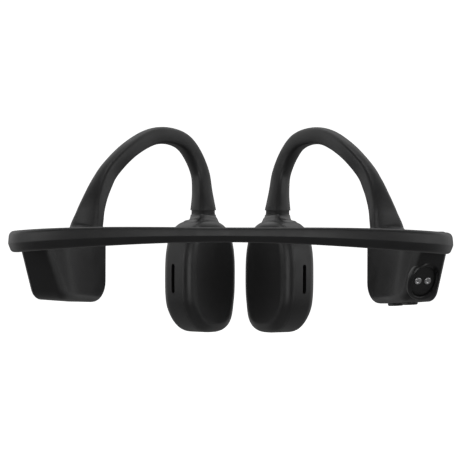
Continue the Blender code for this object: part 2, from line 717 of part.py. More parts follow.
def action_parts(shell, finish, parent, side):
    """The oval button in the left speaker's outer face, held in by a flange, and its switch."""
    face = SPEAKER_HALF_THICK
    combine(shell, prism(superellipse(4.6 + SLIDE_GAP, 6.6 + SLIDE_GAP, 2.4, 20), 3.0, 8.0), "DIFFERENCE", parent, side)
    holder = empty("action_button_axis", mirrored(side, (face, 0, 0)), parent=parent)
    home = Matrix.Translation((-face, 0, 0))
    oval = soft_slab(
        lambda inset: superellipse(4.6 - inset, 6.6 - inset, 2.4, 20), face - 1.9, face + 0.35, high_round=0.3,
    )
    button = solid("action_button", place(oval, home), finish["silicone"], holder, side)
    flange = prism(superellipse(5.3, 7.3, 2.4, 20), face - 1.9, face - 1.35)
    combine(button, place(flange, home), "UNION", holder, side)
    solid("action_switch", block((2.6, -1.5, -1.5), (3.95, 1.5, 1.5), 0.15), finish["chip"], parent, side)


# Assembly


def arm(side, finish):
    """One arm: its stretch of neckband, rear pod, ear hook and speaker pod."""
    name = SIDE_NAMES[side]
    origin = flex_point()
    holder = empty(f"{name}_arm", mirrored(side, origin))
    frames = band_frames(FLEX_AT + FIT_GAP, 1e9, 22)
    band_pieces(f"{name}_band", frames, finish, holder, side, origin, (0.0, TAIL))
    hook_pieces(name, finish, holder, side, origin)
    pod = empty(f"{name}_pod", mirrored(side, Vector(POD_ORIGIN) - origin), side * POD_TOE_IN, holder)
    shell = pod_shells(name, finish, pod, side)
    speaker = empty(f"{name}_speaker", mirrored(side, Vector(SPEAKER_ORIGIN) - origin), side * SPEAKER_TOE_IN, holder)
    cup = speaker_shell(name, finish, speaker, side)
    speaker_parts(name, finish, speaker, side)
    if side == RIGHT:
        charging_parts(shell, finish, pod, side)
        control_parts(shell, finish, pod, side)
    else:
        battery_parts(finish, pod, side)
        action_parts(cup, finish, speaker, side)


def main():
    clear_scene()
    finish = all_materials()
    reach = FLEX_AT - FIT_GAP
    band_pieces("centre_band", band_frames(-reach, reach, 24), finish, None, RIGHT, Vector(), (0.0, 0.0))
    for side in (RIGHT, LEFT):
        arm(side, finish)


main()
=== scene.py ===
"""Bone conduction headphones: their finished surfaces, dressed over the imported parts.

Lengths are in millimetres until a mesh becomes an object, where they turn into metres. Pieces are drawn
for the wearer's right side, +X, and the left side is their mirror image.
"""

from __future__ import annotations

import json
import logging
import math
from dataclasses import dataclass, field
from enum import Enum
from typing import Callable, Iterable, Sequence

import bmesh
import bpy
from mathutils import Matrix, Vector

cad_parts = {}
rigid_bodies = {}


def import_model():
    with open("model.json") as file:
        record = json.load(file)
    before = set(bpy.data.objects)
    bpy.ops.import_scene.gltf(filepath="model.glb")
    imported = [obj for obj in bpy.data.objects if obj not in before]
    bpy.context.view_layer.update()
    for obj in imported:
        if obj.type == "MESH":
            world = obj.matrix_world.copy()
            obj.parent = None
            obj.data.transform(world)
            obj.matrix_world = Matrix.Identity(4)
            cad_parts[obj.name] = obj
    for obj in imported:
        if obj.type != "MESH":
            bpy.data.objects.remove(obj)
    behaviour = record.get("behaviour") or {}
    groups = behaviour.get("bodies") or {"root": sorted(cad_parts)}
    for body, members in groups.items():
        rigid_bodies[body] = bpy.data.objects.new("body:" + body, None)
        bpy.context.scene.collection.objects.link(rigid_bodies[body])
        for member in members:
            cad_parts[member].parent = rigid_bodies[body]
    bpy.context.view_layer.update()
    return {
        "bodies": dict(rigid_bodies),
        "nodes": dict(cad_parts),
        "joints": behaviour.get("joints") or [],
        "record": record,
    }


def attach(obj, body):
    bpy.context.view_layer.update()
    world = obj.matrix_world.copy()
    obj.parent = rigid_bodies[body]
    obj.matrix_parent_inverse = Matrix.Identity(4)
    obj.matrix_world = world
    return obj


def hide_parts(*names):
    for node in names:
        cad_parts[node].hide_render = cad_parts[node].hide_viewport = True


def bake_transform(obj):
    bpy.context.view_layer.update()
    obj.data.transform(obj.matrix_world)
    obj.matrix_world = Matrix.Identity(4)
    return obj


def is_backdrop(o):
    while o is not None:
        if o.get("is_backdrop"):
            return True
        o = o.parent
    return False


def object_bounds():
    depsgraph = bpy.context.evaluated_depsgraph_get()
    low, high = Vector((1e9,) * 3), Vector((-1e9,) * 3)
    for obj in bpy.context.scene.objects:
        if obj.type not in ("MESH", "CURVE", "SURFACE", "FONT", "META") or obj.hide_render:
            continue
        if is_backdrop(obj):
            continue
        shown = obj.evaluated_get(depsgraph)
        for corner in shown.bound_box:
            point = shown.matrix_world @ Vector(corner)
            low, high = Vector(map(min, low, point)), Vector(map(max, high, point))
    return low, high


LOG = logging.getLogger("headphones")
MM = 0.001
HAIR = 0.02
TRIM = 0.01

Outline = list[tuple[float, float]]
Shape = Callable[[float], Outline]


# Options


class Side(Enum):
    """The wearer's two sides, with the sign of X on each."""

    RIGHT = 1
    LEFT = -1

    @property
    def label(self) -> str:
        """The side's name, as node names begin."""
        return self.name.lower()

    @property
    def arm(self) -> str:
        """The body that this side's pieces ride on."""
        return f"{self.label}_arm"


class Grain(Enum):
    """How a surface's fine relief is laid."""

    SOFT = "an even, very fine tooth"
    MOULDED = "the fine spark texture of a mould"
    DRAWN = "long fine lines"
    WOVEN = "a tight weave"


# Finishes


@dataclass(frozen=True)
class Finish:
    """One surface: its colour, gloss and fine relief."""

    name: str
    slot: str
    colour: tuple[float, float, float]
    roughness: float
    metallic: float = 0.0
    grain: Grain = Grain.MOULDED
    grain_size: float = 0.3
    grain_depth: float = 0.01
    mottle: float = 0.05
    tone: float = 0.12

    def material(self) -> bpy.types.Material:
        """The finish as a node material, made once.

        Returns:
            The material.
        """
        made = bpy.data.materials.get(self.name)
        if made:
            return made
        made = bpy.data.materials.new(self.name)
        made.use_nodes = True
        tree = made.node_tree
        shader = tree.nodes["Principled BSDF"]
        shader.inputs["Metallic"].default_value = self.metallic
        where = tree.nodes.new("ShaderNodeTexCoord").outputs["Object"]
        self._colour(tree, where, shader)
        self._gloss(tree, where, shader)
        self._relief(tree, where, shader)
        made.diffuse_color = (*self.colour, 1.0)
        return made

    def _noise(
        self, tree: bpy.types.NodeTree, where: bpy.types.NodeSocket, size: float, detail: float,
    ) -> bpy.types.NodeSocket:
        """A noise pattern whose blobs are about size millimetres across.

        Args:
            tree: The material's nodes.
            where: Where on the surface, in the object.
            size: How wide a blob is, in millimetres.
            detail: How much fine detail it has.

        Returns:
            How strong the noise is.
        """
        noise = tree.nodes.new("ShaderNodeTexNoise")
        noise.inputs["Scale"].default_value = 1.0 / (size * MM)
        noise.inputs["Detail"].default_value = detail
        tree.links.new(where, noise.inputs["Vector"])
        return noise.outputs["Fac"]

    def _colour(self, tree: bpy.types.NodeTree, where: bpy.types.NodeSocket, shader: bpy.types.Node) -> None:
        """Base colour, a little lighter and darker in patches and in specks.

        Args:
            tree: The material's nodes.
            where: Where on the surface, in the object.
            shader: The surface shader.
        """
        ramp = tree.nodes.new("ShaderNodeValToRGB")
        dark, light = ramp.color_ramp.elements
        dark.position, light.position = 0.3, 0.7
        dark.color = (*(c * (1 - self.tone) for c in self.colour), 1.0)
        light.color = (*(min(1.0, c * (1 + self.tone)) for c in self.colour), 1.0)
        tree.links.new(self._noise(tree, where, 9.0, 4.0), ramp.inputs["Fac"])
        tree.links.new(ramp.outputs["Color"], shader.inputs["Base Color"])

    def _gloss(self, tree: bpy.types.NodeTree, where: bpy.types.NodeSocket, shader: bpy.types.Node) -> None:
        """Roughness, a little smoother and duller in random patches.

        Args:
            tree: The material's nodes.
            where: Where on the surface, in the object.
            shader: The surface shader.
        """
        spread = tree.nodes.new("ShaderNodeMapRange")
        spread.inputs["From Min"].default_value = 0.3
        spread.inputs["From Max"].default_value = 0.7
        spread.inputs["To Min"].default_value = self.roughness - self.mottle
        spread.inputs["To Max"].default_value = self.roughness + self.mottle
        tree.links.new(self._noise(tree, where, 5.0, 5.0), spread.inputs["Value"])
        tree.links.new(spread.outputs["Result"], shader.inputs["Roughness"])

    def _relief(self, tree: bpy.types.NodeTree, where: bpy.types.NodeSocket, shader: bpy.types.Node) -> None:
        """The fine relief, by kind of grain.

        Args:
            tree: The material's nodes.
            where: Where on the surface, in the object.
            shader: The surface shader.
        """
        if self.grain is Grain.WOVEN:
            height = self._weave(tree, where)
        else:
            stretch = tree.nodes.new("ShaderNodeMapping")
            if self.grain is Grain.DRAWN:
                stretch.inputs["Scale"].default_value = (1.0, 1.0, 0.06)
            tree.links.new(where, stretch.inputs["Vector"])
            detail = 2.0 if self.grain is Grain.SOFT else 6.0
            height = self._noise(tree, stretch.outputs["Vector"], self.grain_size, detail)
        bump = tree.nodes.new("ShaderNodeBump")
        bump.inputs["Strength"].default_value = 0.6
        bump.inputs["Distance"].default_value = self.grain_depth * MM
        tree.links.new(height, bump.inputs["Height"])
        tree.links.new(bump.outputs["Normal"], shader.inputs["Normal"])

    def _weave(self, tree: bpy.types.NodeTree, where: bpy.types.NodeSocket) -> bpy.types.NodeSocket:
        """Two crossing waves, as threads over and under each other.

        Args:
            tree: The material's nodes.
            where: Where on the surface, in the object.

        Returns:
            The height of the threads.
        """
        heights = []
        for direction in ("Z", "X"):
            wave = tree.nodes.new("ShaderNodeTexWave")
            wave.bands_direction = direction
            wave.inputs["Scale"].default_value = 0.05 / (self.grain_size * MM)
            tree.links.new(where, wave.inputs["Vector"])
            heights.append(wave.outputs["Fac"])
        cross = tree.nodes.new("ShaderNodeMath")
        cross.operation = "MAXIMUM"
        for socket, height in zip(cross.inputs, heights):
            tree.links.new(height, socket)
        return cross.outputs["Value"]


SILICONE = Finish("soft_black_silicone", "silicone", (0.011, 0.011, 0.0115), 0.44, grain=Grain.SOFT)
SHELL = Finish("satin_black_shell", "shell", (0.011, 0.011, 0.0115), 0.4)
PAD = Finish("matt_black_pad", "pad", (0.021, 0.021, 0.0215), 0.4, grain=Grain.SOFT, grain_size=0.2)
GLOSS = Finish("gloss_black_neck", "shell", (0.009, 0.009, 0.0095), 0.32, mottle=0.03, grain_depth=0.004)
# A matte black darker than the shell. Its darker colour is painted shade, on the collar where the hook meets
# the neck and on the charging recess floor.
PAINTED_SHADE_BLACK = Finish("matte_black_collar", "shell", (0.006, 0.006, 0.0063), 0.6, mottle=0.03, grain_depth=0.004)
TITANIUM = Finish("titanium_wire", "titanium", (0.5, 0.49, 0.46), 0.34, 1.0, Grain.DRAWN, 0.15, 0.004)
LEAD = Finish("black_lead", "lead", (0.03, 0.03, 0.034), 0.5)
BOARD = Finish("green_board", "board", (0.008, 0.06, 0.03), 0.38, grain=Grain.WOVEN, grain_size=0.5, tone=0.3)
CHIP = Finish("black_package", "chip", (0.014, 0.014, 0.015), 0.4)
CELL = Finish("foil_pouch", "cell", (0.5, 0.51, 0.53), 0.35, 1.0, Grain.SOFT, 1.4, 0.05)
FOAM = Finish("open_foam", "foam", (0.03, 0.03, 0.03), 0.95, grain_size=0.5, grain_depth=0.12)
STEEL = Finish("pressed_steel", "steel", (0.46, 0.46, 0.47), 0.32, 1.0, Grain.DRAWN, 0.2, 0.005)
MAGNET = Finish("nickel_magnet", "magnet", (0.62, 0.61, 0.6), 0.2, 1.0, Grain.SOFT, 0.6, 0.003)
COPPER = Finish("copper_winding", "copper", (0.75, 0.32, 0.15), 0.3, 1.0, Grain.WOVEN, 0.2, 0.02)
CONTACT = Finish("plated_contact", "contact", (0.52, 0.52, 0.53), 0.3, 1.0, Grain.SOFT, 0.3, 0.004)
LENS = Finish("milky_light_pipe", "lens", (0.75, 0.78, 0.8), 0.22, grain=Grain.SOFT, tone=0.04)
MESH = Finish("black_mesh", "mesh", (0.03, 0.03, 0.03), 0.45, 1.0, Grain.WOVEN, 0.25, 0.06)
GASKET = Finish("dark_red_seal", "gasket", (0.06, 0.015, 0.014), 0.62, grain=Grain.SOFT)
# The finishes of the imported parts, one for each slot. GLOSS and the darker matte black of painted shade are
# for new pieces only.
FINISHES = (
    SILICONE, SHELL, PAD, TITANIUM, LEAD, BOARD, CHIP, CELL, FOAM, STEEL, MAGNET, COPPER, CONTACT, LENS,
    MESH, GASKET,
)


# Mesh work


def superellipse(half_wide: float, half_tall: float, power: float, count: int) -> Outline:
    """A closed outline between an ellipse, at power 2, and a rectangle.

    Args:
        half_wide: Half its width.
        half_tall: Half its height.
        power: How square it is.
        count: How many points it has.

    Returns:
        The outline, anticlockwise.
    """
    outline = []
    for i in range(count):
        angle = math.tau * (i + 0.5) / count
        c, s = math.cos(angle), math.sin(angle)
        wide = math.copysign(abs(c) ** (2 / power), c) * half_wide
        outline.append((wide, math.copysign(abs(s) ** (2 / power), s) * half_tall))
    return outline


def rounded(corners: Sequence[tuple[float, float, float]], steps: int) -> Outline:
    """An outline of (across, up, radius) corners with an arc of so many steps at each.

    Args:
        corners: Each corner as across, up and radius.
        steps: How many steps each corner takes.

    Returns:
        The outline.
    """
    outline = []
    for i, (y, z, radius) in enumerate(corners):
        here = Vector((y, z))
        to_last = (Vector(corners[i - 1][:2]) - here).normalized()
        to_next = (Vector(corners[(i + 1) % len(corners)][:2]) - here).normalized()
        half = to_last.angle(to_next) / 2
        reach = radius / math.tan(half)
        centre = here + (to_last + to_next).normalized() * (radius / math.sin(half))
        start = here + to_last * reach - centre
        turn = start.angle_signed(here + to_next * reach - centre)
        for k in range(steps + 1):
            outline.append(tuple(centre + Matrix.Rotation(-turn * k / steps, 2) @ start))
    return outline


def soft_box(
    radius: float, crown: tuple[float, float], steps: int = 5, between: int = 4,
) -> Outline:
    """A unit square with rounded corners and crowned sides.

    Args:
        radius: Its corner radius.
        crown: How far its x sides and its y sides fall away towards the corners.
        steps: How many steps each corner takes.
        between: How many points each side has between its corners.

    Returns:
        The outline, anticlockwise.
    """
    square = rounded([(-1, -1, radius), (1, -1, radius), (1, 1, radius), (-1, 1, radius)], steps)
    outline = []
    for i, (x, y) in enumerate(square):
        outline.append((x, y))
        if i % (steps + 1) == steps:
            nx, ny = square[(i + 1) % len(square)]
            for k in range(1, between + 1):
                share = k / (between + 1)
                outline.append((x + (nx - x) * share, y + (ny - y) * share))
    return [(x * (1 - crown[0] * y * y), y * (1 - crown[1] * x * x)) for x, y in outline]


def moved_in(corners: Sequence[tuple[float, float, float]], inset: float) -> list[tuple[float, float, float]]:
    """Corners of an anticlockwise outline with each wall moved in, and each radius smaller by as much.

    Args:
        corners: Each corner as across, up and radius.
        inset: How far the walls move in.

    Returns:
        The moved corners.
    """
    moved = []
    for i, (y, z, radius) in enumerate(corners):
        before = (Vector((y, z)) - Vector(corners[i - 1][:2])).normalized()
        after = (Vector(corners[(i + 1) % len(corners)][:2]) - Vector((y, z))).normalized()
        inwards = Vector((-before.y, before.x)) + Vector((-after.y, after.x))
        share = inwards.normalized().dot(Vector((-before.y, before.x)))
        shift = inwards.normalized() * (inset / share)
        moved.append((y + shift.x, z + shift.y, max(0.25, radius - inset)))
    return moved


class Loft:
    """A skin that grows ring by ring from one closed outline."""

    def __init__(self, points: Sequence[Vector]) -> None:
        """Starts the skin with a ring through the points.

        Args:
            points: Where the first ring lies.
        """
        self.mesh = bmesh.new()
        ring = bmesh.ops.create_circle(self.mesh, segments=len(points), radius=1.0)["verts"]
        self.first = self.ring = list(ring)
        self._move(points)

    def _move(self, points: Sequence[Vector]) -> None:
        """Puts the newest ring on the points."""
        for vert, point in zip(self.ring, points):
            vert.co = point

    def _rim(self, ring: Sequence[bmesh.types.BMVert]) -> list[bmesh.types.BMEdge]:
        """The edges round a ring."""
        return [self.mesh.edges.get(pair) for pair in zip(ring, [*ring[1:], ring[0]])]

    def to(self, points: Sequence[Vector]) -> Loft:
        """Extrudes the newest ring to the points.

        Args:
            points: Where the new ring lies.

        Returns:
            The same skin.
        """
        grown = bmesh.ops.extrude_edge_only(self.mesh, edges=self._rim(self.ring))["geom"]
        new = {part for part in grown if isinstance(part, bmesh.types.BMVert)}
        self.ring = [
            next(e.other_vert(v) for e in v.link_edges if e.other_vert(v) in new) for v in self.ring
        ]
        self._move(points)
        return self

    def capped(self) -> bmesh.types.BMesh:
        """The skin with a face over each end.

        Returns:
            The closed mesh.
        """
        for ring in (self.first, self.ring):
            bmesh.ops.contextual_create(self.mesh, geom=self._rim(ring))
        return self.mesh

    def joined(self) -> bmesh.types.BMesh:
        """The skin with its last ring joined to its first, as a closed loop."""
        bmesh.ops.bridge_loops(self.mesh, edges=self._rim(self.first) + self._rim(self.ring))
        return self.mesh


def through(rows: Iterable[Sequence[Vector]]) -> Loft:
    """A loft through rows of points.

    Args:
        rows: One row of points for each ring.

    Returns:
        The open skin.
    """
    rows = list(rows)
    loft = Loft(rows[0])
    for row in rows[1:]:
        loft.to(row)
    return loft


def level(x: float, outline: Outline) -> list[Vector]:
    """An outline of (y, z) points at one x."""
    return [Vector((x, y, z)) for y, z in outline]


def rim_rows(shape: Shape, x: float, radius: float, out: int, steps: int) -> list[list[Vector]]:
    """Rows that round a slab's rim, from its flat face out to its wall.

    Args:
        shape: The outline for each inset.
        x: The flat face's x.
        radius: The rim's radius.
        out: 1 if the face looks towards +x and -1 if towards -x.
        steps: How many rings round the rim takes.

    Returns:
        The rows, the flat face's own first.
    """
    rows = [level(x, shape(radius + 0.5))]
    for k in range(steps + 1):
        angle = math.pi / 2 * k / steps
        rows.append(level(x - out * radius * (1 - math.cos(angle)), shape(radius * (1 - math.sin(angle)))))
    return rows


def slab(
    shape: Shape, low: float, high: float, low_round: float, high_round: float, steps: int = 6,
) -> bmesh.types.BMesh:
    """A closed slab between two x positions with both rims rounded.

    Args:
        shape: The outline for each inset.
        low: The lower face's x.
        high: The upper face's x.
        low_round: The lower rim's radius.
        high_round: The upper rim's radius.
        steps: How many rings round each rim takes.

    Returns:
        The mesh.
    """
    rows = rim_rows(shape, low, low_round, -1, steps)
    rows += reversed(rim_rows(shape, high, high_round, 1, steps))
    return through(rows).capped()


def cup(
    shape: Shape, face: float, mouth: float, radius: float, wall: float, steps: int = 6,
) -> bmesh.types.BMesh:
    """A closed hollow shell whose flat face is at one x and whose open mouth is at another.

    Args:
        shape: The outline for each inset.
        face: The closed end's x.
        mouth: The open end's x.
        radius: The closed end's rim radius.
        wall: The wall's thickness.
        steps: How many rings round the rim takes.

    Returns:
        The mesh, from the middle of the outer face over the mouth to the middle of the inner one.
    """
    out = 1 if face > mouth else -1
    rows = rim_rows(shape, face, radius, out, steps)
    lip = 0.08
    rows.append(level(mouth + out * lip, shape(0.0)))
    rows.append(level(mouth, shape(lip)))
    rows.append(level(mouth, shape(wall)))
    rows.append(level(face - out * wall, shape(wall)))
    rows.append(level(face - out * wall, shape(wall + 0.5)))
    return through(rows).capped()


def turned(profile: Sequence[tuple[float, float]], sides: int = 40) -> bmesh.types.BMesh:
    """A profile of (x, radius) points, from one end of the axis to the other, spun about x.

    Args:
        profile: The points, from one end of the axis to the other.
        sides: How many sides the round takes.

    Returns:
        The mesh.
    """
    mesh = bmesh.new()
    verts = [mesh.verts.new((x, radius, 0.0)) for x, radius in profile]
    edges = [mesh.edges.new(pair) for pair in zip(verts, verts[1:])]
    bmesh.ops.spin(
        mesh, geom=verts + edges, cent=(0, 0, 0), axis=(1, 0, 0), angle=math.tau, steps=sides,
        use_merge=True, use_duplicate=False,
    )
    bmesh.ops.remove_doubles(mesh, verts=mesh.verts, dist=1e-4)
    return mesh


def smooth_along(points: Sequence[Sequence[float]], t: float) -> list[float]:
    """A point at t, from 0 to 1, on a smooth curve through points of any dimension.

    Args:
        points: The points, of any one dimension.
        t: How far along, from 0 to 1.

    Returns:
        The point.
    """
    last = len(points) - 1
    i = min(int(t * last), last - 1)
    f = t * last - i
    near = (points[max(0, min(last, k))] for k in (i - 1, i, i + 1, i + 2))
    return [
        0.5 * (2 * b + (c - a) * f + (2 * a - 5 * b + 4 * c - d) * f * f + (3 * b - a - 3 * c + d) * f ** 3)
        for a, b, c, d in zip(*near)
    ]


def section_frame(centre: Vector, heading: Vector, across: Vector) -> Matrix:
    """A frame whose z is the heading, whose y is across and whose x is square to both.

    Args:
        centre: Its origin.
        heading: Which way z runs.
        across: Roughly which way y runs.

    Returns:
        The frame.
    """
    heading = heading.normalized()
    across = (across - heading * across.dot(heading)).normalized()
    frame = Matrix((across.cross(heading), across, heading)).transposed().to_4x4()
    frame.translation = centre
    return frame


def on_frame(frame: Matrix, outline: Outline, half_x: float, half_y: float) -> list[Vector]:
    """An outline of unit size laid in a section frame."""
    return [frame @ Vector((x * half_x, y * half_y, 0.0)) for x, y in outline]


def capsule(half_long: float, half_wide: float, steps: int) -> Outline:
    """An outline with parallel sides and round ends, or with round ends above and below if it's taller.

    Args:
        half_long: Half its size across.
        half_wide: Half its size upwards.
        steps: How many steps each corner takes.

    Returns:
        The outline.
    """
    radius = min(half_long, half_wide) * 0.98
    signs = ((-1, -1), (1, -1), (1, 1), (-1, 1))
    return rounded([(y * half_long, z * half_wide, radius) for y, z in signs], steps)


def eased(share: float) -> float:
    """A share from 0 to 1 that starts and ends gently."""
    return share * share * (3 - 2 * share)


def part_way(pair: tuple[float, float], share: float) -> float:
    """A value so far from the pair's first to its last."""
    return pair[0] + (pair[1] - pair[0]) * share


@dataclass
class Bench:
    """Turns finished meshes into pieces of the model."""

    crease: float = math.radians(38)

    def piece(
        self, name: str, mesh: bmesh.types.BMesh, place: Matrix, side: Side, finish: Finish,
    ) -> bpy.types.Object:
        """Makes an object of a mesh drawn for the right side.

        Args:
            name: The piece's name.
            mesh: Its mesh, in its own frame. It is used up.
            place: Its own frame in the part's frame.
            side: Which side it is for.
            finish: What it is made of.

        Returns:
            The object, with its place in its mesh.
        """
        bmesh.ops.transform(mesh, matrix=place, verts=mesh.verts)
        bmesh.ops.scale(mesh, vec=(side.value * MM, MM, MM), verts=mesh.verts)
        bmesh.ops.recalc_face_normals(mesh, faces=mesh.faces)
        if mesh.calc_volume(signed=True) < 0:
            bmesh.ops.reverse_faces(mesh, faces=mesh.faces)
        data = bpy.data.meshes.new(name)
        mesh.to_mesh(data)
        mesh.free()
        self.shade(data)
        made = bpy.data.objects.new(name, data)
        bpy.context.scene.collection.objects.link(made)
        data.materials.append(finish.material())
        return made

    def shade(self, data: bpy.types.Mesh) -> None:
        """Smooth faces with sharp creases."""
        data.shade_smooth()
        data.set_sharp_from_angle(angle=self.crease)

    def carve(self, piece: bpy.types.Object, *cutters: bpy.types.Object) -> None:
        """Cuts shapes out of a piece and throws the shapes away.

        Args:
            piece: The piece to cut.
            cutters: The shapes to cut out of it.
        """
        for cutter in cutters:
            cut = piece.modifiers.new(cutter.name, "BOOLEAN")
            cut.operation = "DIFFERENCE"
            cut.object = cutter
        bpy.context.view_layer.update()
        carved = bpy.data.meshes.new_from_object(piece.evaluated_get(bpy.context.evaluated_depsgraph_get()))
        piece.modifiers.clear()
        finish = piece.data.materials[0]
        piece.data = carved
        carved.materials.clear()
        carved.materials.append(finish)
        self.shade(carved)
        for cutter in cutters:
            bpy.data.objects.remove(cutter, do_unlink=True)

    def fit(self, piece: bpy.types.Object, body: str, *nodes: str) -> None:
        """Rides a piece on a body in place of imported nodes.

        Args:
            piece: The piece.
            body: The body that it rides on.
            nodes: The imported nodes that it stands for.
        """
        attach(piece, body)
        if nodes:
            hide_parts(*nodes)
        LOG.info("%s rides on %s for %s", piece.name, body, ", ".join(nodes) or "itself")


BENCH = Bench()


# Neckband


@dataclass
class Neckband:
    """The sprung band behind the head, in two halves, one from the middle to each arm."""

    half_span: float = 61.95
    bulge: float = 21.1
    power: float = 2.3
    widest_y: float = -70.0
    centre_z: float = -28.75
    end_z: float = -30.95
    half_thick: tuple[float, float] = (1.9, 2.05)
    half_tall: tuple[float, float] = (2.08, 3.12)
    grows_to: float = 62.0
    bend: tuple[float, float] = (4.0, 57.0)
    rings: int = 84
    samples: int = 600
    wire: tuple[float, float] = (0.8, 0.5)
    lead: tuple[float, float] = (-0.75, 0.6)
    rear_section: Outline = field(default_factory=lambda: [
        (-0.18, 0.98), (-0.13, 1.0), (-0.07, 1.0), (0.3, 0.975), (0.68, 0.945), (0.8, 0.91), (0.91, 0.8),
        (0.98, 0.62), (1.0, 0.4), (1.0, 0.0), (1.0, -0.45), (0.93, -0.72), (0.78, -0.91), (0.55, -1.0),
        (0.2, -1.0), (-0.2, -1.0), (-0.55, -1.0), (-0.8, -0.88), (-0.94, -0.66), (-1.0, -0.4), (-1.0, 0.0),
        (-0.99, 0.28), (-0.95, 0.46), (-0.87, 0.6), (-0.78, 0.68), (-0.45, 0.85),
    ])
    side_section: Outline = field(default_factory=lambda: [
        (-0.36, 0.97), (-0.3, 1.0), (-0.22, 1.0), (0.12, 0.96), (0.4, 0.88), (0.6, 0.75), (0.76, 0.56),
        (0.88, 0.34), (0.95, 0.1), (0.99, -0.2), (1.0, -0.45), (0.93, -0.72), (0.78, -0.91), (0.55, -1.0),
        (0.2, -1.0), (-0.2, -1.0), (-0.55, -1.0), (-0.8, -0.88), (-0.94, -0.66), (-1.0, -0.4), (-1.0, -0.1),
        (-0.98, 0.18), (-0.93, 0.4), (-0.85, 0.56), (-0.76, 0.67), (-0.55, 0.84),
    ])

    def route(self, end: Sequence[Vector]) -> list[Vector]:
        """The right half of the centreline, from the rear centre through the given end points.

        Args:
            end: The last points, into the pod.

        Returns:
            The points of the centreline.
        """
        line = []
        for degrees in range(0, 91, 9):
            angle = math.radians(degrees)
            line.append(Vector((
                self.half_span * math.sin(angle) ** (2 / self.power),
                self.widest_y - self.bulge * max(0.0, math.cos(angle)) ** (2 / self.power),
                part_way((self.centre_z, self.end_z), eased(degrees / 90)),
            )))
        return line + list(end)

    def frames(self, end: Sequence[Vector], last_heading: Vector) -> list[tuple[Matrix, float, float]]:
        """Section frames along the right half, each with its half height and half thickness.

        Args:
            end: The last points of the centreline, into the pod.
            last_heading: Which way the band runs into the pod.

        Returns:
            The frames, with their half sizes.
        """
        line, last = self.route(end), self.samples
        fine = [Vector(smooth_along(line, k / last)) for k in range(last + 1)]
        run = [0.0]
        for a, b in zip(fine, fine[1:]):
            run.append(run[-1] + (b - a).length)
        frames = []
        for k in range(self.rings + 1):
            want = run[-1] * k / self.rings
            i = min(range(last + 1), key=lambda j: abs(run[j] - want))
            if k == 0:
                heading = Vector((1, 0, 0))
            elif k == self.rings:
                heading = last_heading.copy()
            else:
                heading = fine[min(i + 4, last)] - fine[max(i - 4, 0)]
            heading.z = 0
            grown = eased(min(1.0, run[i] / self.grows_to))
            outwards = Vector((heading.y, -heading.x, 0))
            frames.append((
                section_frame(fine[i], heading, outwards), part_way(self.half_tall, grown),
                part_way(self.half_thick, grown),
            ))
        return frames

    def section(self, share: float) -> Outline:
        """The sleeve's section so far along: flat-faced at the rear and rounder towards the ends.

        Args:
            share: How far along the band, from 0 at its middle to 1.

        Returns:
            The outline, of unit size.
        """
        turned_to = max(0.0, (share - 0.35) / 0.65) ** 1.5
        return [
            (a + (c - a) * turned_to, b + (d - b) * turned_to)
            for (a, b), (c, d) in zip(self.rear_section, self.side_section)
        ]

    def build(self, side: Side, end: Sequence[Vector], last_heading: Vector) -> None:
        """One half: its silicone sleeve, its spring wire and its lead.

        Args:
            side: Which side it is for.
            end: The last points of the centreline, into the pod.
            last_heading: Which way the band runs into the pod.
        """
        frames = self.frames(end, last_heading)
        rows = [
            on_frame(frame, self.section(k / self.rings), tall, thick)
            for k, (frame, tall, thick) in enumerate(frames)
        ]
        name = f"{side.label}_neckband"
        sleeve = BENCH.piece(f"{name}_sleeve", through(rows).capped(), Matrix(), side, SILICONE)
        wire = self._strand(frames, f"{name}_wire", self.wire, side, TITANIUM)
        lead = self._strand(frames, f"{name}_lead", self.lead, side, LEAD)
        for piece, kind in ((sleeve, "sleeve"), (wire, "wire"), (lead, "lead")):
            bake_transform(piece)
            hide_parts(f"centre_band_{kind}", f"{side.label}_band_{kind}")
            LOG.info("%s bends from neckband to %s", piece.name, side.arm)

    def _strand(
        self, frames: Sequence[tuple[Matrix, float, float]], name: str, size: tuple[float, float],
        side: Side, finish: Finish,
    ) -> bpy.types.Object:
        """A round strand inside the sleeve, sized by how far up it is set off and by its radius.

        Args:
            frames: The section frames.
            name: The piece's name.
            size: How far up it is set off, and its radius.
            side: Which side it is for.
            finish: What it is made of.

        Returns:
            The strand.
        """
        offset, radius = size
        ring = [(x + offset / radius, y) for x, y in superellipse(1, 1, 2, 10)]
        rows = [on_frame(frame, ring, radius, radius) for frame, _, _ in frames[::2]]
        return BENCH.piece(name, through(rows).capped(), Matrix(), side, finish)


# Rear pods


